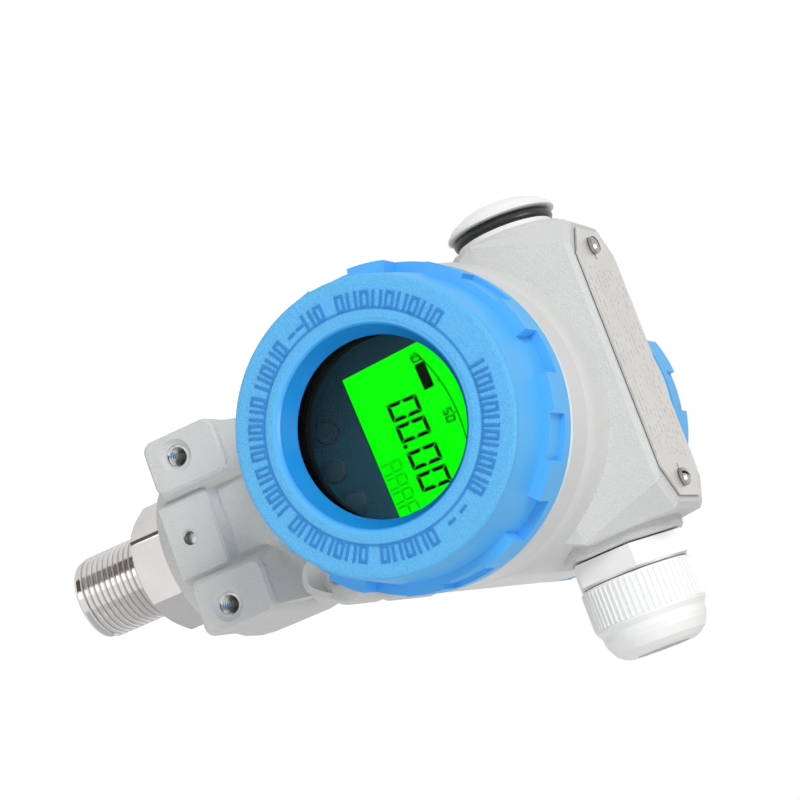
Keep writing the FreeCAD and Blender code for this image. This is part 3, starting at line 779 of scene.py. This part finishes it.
def cover_marks():
    """groups of plain raised frames and bars, where such covers carry cast words, and two pairs of dashes"""
    paint = FINISH["cover_paint"]
    step, bar_shift = math.radians(6.1), 0.032
    box = soft_frame("frame", MARKS_IN, MARKS_OUT, 1.0 * MM, 0.62 * MM)
    bar = soft_bar("bar", MARKS_IN, MARKS_OUT, 0.33 * MM)
    dash = soft_bar("dash", 25.4 * MM, 26.1 * MM, 0.95 * MM)
    groups = ((-3, 5), (67, 10), (149.5, 9), (188, 2), (219, 4), (249, 5), (278, 4), (316, 7))
    dash_pairs = ((24.5, 7.5), (199.1, 5.4))
    bm = bmesh.new()
    for middle, count in groups:
        first = math.radians(middle) - step * (count - 1) / 2
        for shape, start, shift in ((box, 0, 0.0), (bar, 1, -bar_shift), (bar, 1, bar_shift)):
            number = len(range(start, count, 2))
            bm.from_mesh(turned_copies(shape, paint, number, first + step * start + shift, 2 * step))
    for middle, apart in dash_pairs:
        bm.from_mesh(turned_copies(dash, paint, 2, math.radians(middle - apart / 2), math.radians(apart)))
    bm.transform(Matrix.Translation((0.0, FACE_Y, AXIS_Z)) @ TO_FRONT)
    for shape in (box, bar, dash):
        bpy.data.objects.remove(shape)
    return dress(mesh_object("cover_marks", bm, 50), "front_cover", paint)


cover_marks()

# ---- display artwork, in millimetres from the barrel axis ----
FIGURES = {"0": "abcdef", "5": "acdfg"}            # the segments of each figure
ARC_R, ARC_TOP = 34.7, 8.93                        # scale arc and its highest point


def on_display(x, y, z):
    """place on the tilted artwork, y being measured from the front of the panel"""
    c, s = math.cos(DISPLAY_TILT), math.sin(DISPLAY_TILT)
    return Vector(((x * c - z * s) * MM, DISPLAY_Y + y * MM, AXIS_Z + (x * s + z * c) * MM))


def slab(bm, corners, depth=0.05):
    """thin plate from a loop of (x, z) corners, standing out from the display"""
    front, back = [[bm.verts.new(on_display(x, y, z)) for x, z in corners] for y in (-depth, 0.0)]
    skin(bm, [front, back])
    bm.faces.new(front)
    bm.faces.new(back)


def oblong(x, z, width, height):
    """corners of an upright rectangle with its lower left corner at x, z"""
    return [(x, z), (x + width, z), (x + width, z + height), (x, z + height)]


def arc_piece(inner, outer, start, end):
    """corners of a stretch of ring round the centre of the scale arc; angles in degrees"""
    corners = []
    for r, degrees in ((inner, start), (outer, start), (outer, end), (inner, end)):
        a = math.radians(degrees)
        corners.append((r * math.cos(a), r * math.sin(a) + ARC_TOP - ARC_R))
    return corners


def segment_digit(bm, figure, x0, z0, w, h, t, g):
    """leaning seven segment figure with its lower left corner at x0, z0; t is the stroke and g the gap"""
    lean, half = 0.07, h / 2
    bars = {
        "a": [(g, h), (w - g, h), (w - t - g, h - t), (t + g, h - t)],
        "d": [(g, 0), (t + g, t), (w - t - g, t), (w - g, 0)],
        "g": [(t, half + t / 2), (w - t, half + t / 2), (w - t / 2, half), (w - t, half - t / 2),
              (t, half - t / 2), (t / 2, half)],
        "b": [(w, h - g), (w, half + g), (w - t, half + t / 2 + g), (w - t, h - t - g)],
        "c": [(w, half - g), (w, g), (w - t, t + g), (w - t, half - t / 2 - g)],
        "f": [(0, h - g), (t, h - t - g), (t, half + t / 2 + g), (0, half + g)],
        "e": [(0, half - g), (t, half - t / 2 - g), (t, t + g), (0, g)],
    }
    for key in FIGURES[figure]:
        slab(bm, [(x0 + x + z * lean, z0 + z) for x, z in bars[key]])


def display_figures():
    """reading, scale and label of the display, as thin plates on the lit panel"""
    bm = bmesh.new()
    for x in (-7.9, -3.0, 3.2, 8.3):
        segment_digit(bm, "0", x, -5.3, w=4.1, h=7.2, t=0.85, g=0.12)
    slab(bm, oblong(1.45, -5.25, 0.85, 0.85))
    # scale arc with its ticks, its figures and the dark label beside them
    half_line, half_tick, start, steps = 0.11, 0.2, 64.5, 52
    for k in range(steps):
        slab(bm, arc_piece(ARC_R - half_line, ARC_R + half_line, start + k, start + k + 1))
    for degrees, length in ((116.3, 1.7), (90.0, 0.9), (103.0, 0.6), (77.0, 0.6)):
        slab(bm, arc_piece(ARC_R - length, ARC_R, degrees - half_tick, degrees + half_tick))
    for figure, x, z in (("0", -14.7, 4.0), ("5", -1.6, 5.9), ("0", 0.1, 5.9)):
        segment_digit(bm, figure, x, z, w=1.3, h=2.1, t=0.32, g=0.0)
    slab(bm, oblong(-12.9, 4.1, 5.8, 2.4))
    # lower row, as thin broken strokes
    thin, tall, wide, depth = 0.2, 1.8, 1.5, 0.04
    for x in (3.4, 6.6, 9.8, 13.0):
        for z in (-11.7, -9.4):
            for shift in (0.0, 2.2):
                slab(bm, oblong(x + shift, z, thin, tall), depth)
        for z in (-9.6, -7.4):
            slab(bm, oblong(x + 0.4, z, wide, thin), depth)
    return dress(mesh_object("display_figures", bm), "housing", DISPLAY_INK)


display_figures()

# ---- studio ----
FLOOR_Z, FLOOR_R = -0.25, 0.85
CARD_R, CARD_LOW, CARD_HIGH = 0.42, FLOOR_Z + 0.001, 0.14
SKY = 0.43                                         # share of the white room that lights the object
FLOOR_GLOW, FLOOR_MIRRORED = 0.55, 0.25            # glow of the floor, and the share that mirrors show


def area(name, location, size, power):
    """square lamp turned towards the barrel, left out of reflections"""
    data = bpy.data.lights.new(name, "AREA")
    data.size = size
    data.energy = power
    obj = add_object(name, data)
    obj.location = location
    obj.rotation_euler = (Vector((0, 0, AXIS_Z)) - Vector(location)).to_track_quat("-Z", "Y").to_euler()
    obj.visible_glossy = False


def where_seen(tree, mirrored=1.0):
    """1 for rays that show the surroundings, the given share for mirrored ones, 0 for rays that light"""
    path = tree.nodes.new("ShaderNodeLightPath").outputs
    plain = math_node(tree, "MAXIMUM", path["Is Camera Ray"], path["Is Transmission Ray"])
    return math_node(tree, "MAXIMUM", plain, times(tree, path["Is Glossy Ray"], mirrored))


def plain_mesh(name, points, faces):
    """open mesh for the studio's cards and floor"""
    mesh = bpy.data.meshes.new(name)
    mesh.from_pydata(points, [], faces)
    return mesh


def mirrors_only(obj, color):
    """make a card glow that lights nothing and shows in reflections alone"""
    m = bpy.data.materials.new(obj.name)
    m.use_nodes = True
    t = m.node_tree
    t.nodes.remove(t.nodes["Principled BSDF"])
    glow = t.nodes.new("ShaderNodeEmission")
    glow.inputs["Color"].default_value = (*scaled(color, 1 / color[0]), 1.0)
    glow.inputs["Strength"].default_value = color[0]
    t.links.new(glow.outputs[0], t.nodes["Material Output"].inputs[0])
    obj.data.materials.append(m)
    obj.visible_camera = False
    obj.visible_diffuse = False
    obj.visible_transmission = False
    obj.visible_shadow = False


def reflected_sheet(name, centre, size, color):
    """square card facing the barrel"""
    h = size / 2
    mesh = plain_mesh(name, [(-h, -h, 0), (h, -h, 0), (h, h, 0), (-h, h, 0)], [(0, 1, 2, 3)])
    turn = (Vector((0, 0, AXIS_Z)) - Vector(centre)).to_track_quat("Z", "Y").to_matrix().to_4x4()
    mesh.transform(Matrix.Translation(centre) @ turn)
    mirrors_only(add_object(name, mesh), color)


def reflected_wall(name, start, end, color):
    """curved card standing round the object from one bearing to another, in degrees"""
    steps = 16
    points = []
    for k in range(steps + 1):
        a = math.radians(start + (end - start) * k / steps)
        points += [(CARD_R * math.cos(a), CARD_R * math.sin(a), z) for z in (CARD_LOW, CARD_HIGH)]
    faces = [(2 * k, 2 * k + 1, 2 * k + 3, 2 * k + 2) for k in range(steps)]
    mirrors_only(add_object(name, plain_mesh(name, points, faces)), color)


def white_room():
    """surroundings that are white where they are seen and dimmer where they light"""
    world = bpy.data.worlds.new("studio")
    bpy.context.scene.world = world
    world.use_nodes = True
    t = world.node_tree
    back = t.nodes["Background"]
    back.inputs["Color"].default_value = (1.0, 1.0, 1.0, 1.0)
    t.links.new(plus(t, times(t, where_seen(t), 1.0 - SKY), SKY), back.inputs["Strength"])


def white_floor():
    """pale disc that keeps the object's shadow and melts into the white room"""
    m, t, p = material("floor white", (0.9, 0.9, 0.9), 1.0, spec=0.0)
    glow = t.nodes.new("ShaderNodeEmission")
    t.links.new(times(t, where_seen(t, FLOOR_MIRRORED), FLOOR_GLOW), glow.inputs["Strength"])
    both = t.nodes.new("ShaderNodeAddShader")
    t.links.new(p.outputs[0], both.inputs[0])
    t.links.new(glow.outputs[0], both.inputs[1])
    t.links.new(both.outputs[0], t.nodes["Material Output"].inputs[0])
    sides = 64
    turns = [2 * math.pi * k / sides for k in range(sides)]
    rim = [(FLOOR_R * math.cos(a), FLOOR_R * math.sin(a), FLOOR_Z) for a in turns]
    obj = add_object("floor", plain_mesh("floor", rim, [tuple(range(sides))]))
    obj.data.materials.append(m)


def studio():
    """white room, lamps from the upper left and the right, and cards for the metal to mirror"""
    white_room()
    white_floor()
    area("key", (-0.42, -0.60, 0.72), size=0.35, power=5.6)
    area("fill", (0.85, -0.40, 0.38), size=0.5, power=2.6)
    reflected_sheet("overhead_card", (0.26, -0.22, 0.815), size=0.42, color=(5.0, 5.0, 5.0))
    reflected_wall("dark_card", -155, -119, (0.10, 0.088, 0.08))
    reflected_wall("bright_card", -119, -99, (1.5, 1.5, 1.5))
    reflected_wall("front_card", -99, -62, (0.98, 0.97, 0.965))
    reflected_wall("grey_card", -62, 70, (0.56, 0.56, 0.57))
    reflected_wall("pale_card", 110, 205, (0.82, 0.81, 0.80))


studio()


def camera():
    """long lens in front of the window, above it and to the right, rolled so that the stem points left"""
    data = bpy.data.cameras.new("camera")
    data.sensor_width = 36.0
    data.lens = 111.6
    data.clip_start = 0.01
    obj = add_object("camera", data)
    obj.rotation_euler = [math.radians(a) for a in (47.898, -58.702, 48.614)]
    obj.location = (0.085769, -0.515895, 0.180499 + AXIS_Z)
    bpy.context.scene.camera = obj


camera()
bpy.context.scene.view_settings.view_transform = "Standard"
